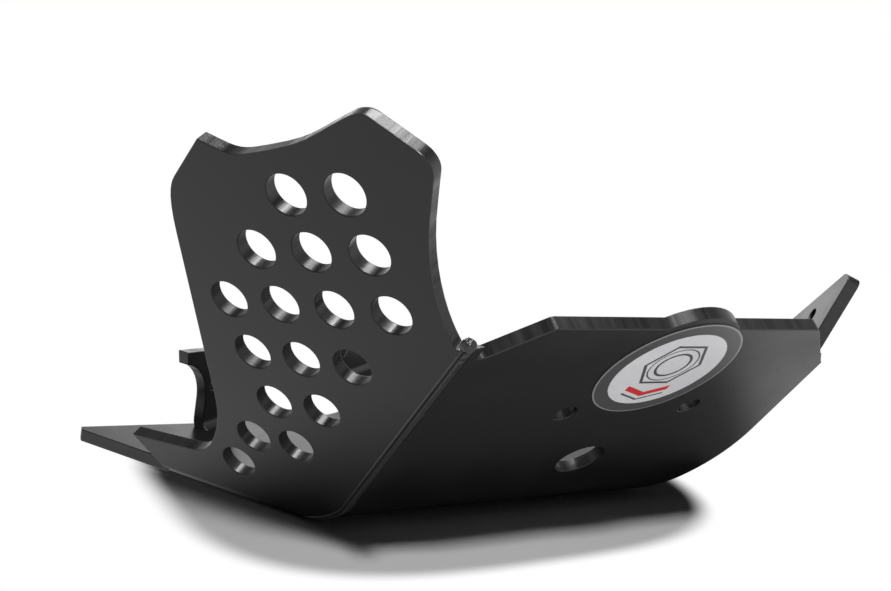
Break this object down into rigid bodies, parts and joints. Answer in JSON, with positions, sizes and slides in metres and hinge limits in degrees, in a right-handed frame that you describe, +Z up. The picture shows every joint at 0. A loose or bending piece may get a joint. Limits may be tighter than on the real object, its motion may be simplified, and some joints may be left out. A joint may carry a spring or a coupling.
{
  "type": "motorcycle skid plate",
  "caption": "Engine skid plate of thick black plastic sheet, folded and welded: perforated front panel, sloping side wing with round badge, flat pan, bolt lugs.",
  "frame": {"origin": "centre of the drain hole on the underside of the pan", "axes": "+X to the bike's left, +Y to the bike's rear, +Z up from the pan"},
  "size_m": [0.4418, 0.4915, 0.2511],
  "materials": {
    "black_sheet": "satin extruded sheet with sawn edges",
    "weld": "melted bead",
    "badge_print": "printed vinyl film"
  },
  "bodies": {
    "root": {"plate": "black_sheet", "weld_bead": "weld", "badge": "badge_print"}
  },
  "joints": []
}
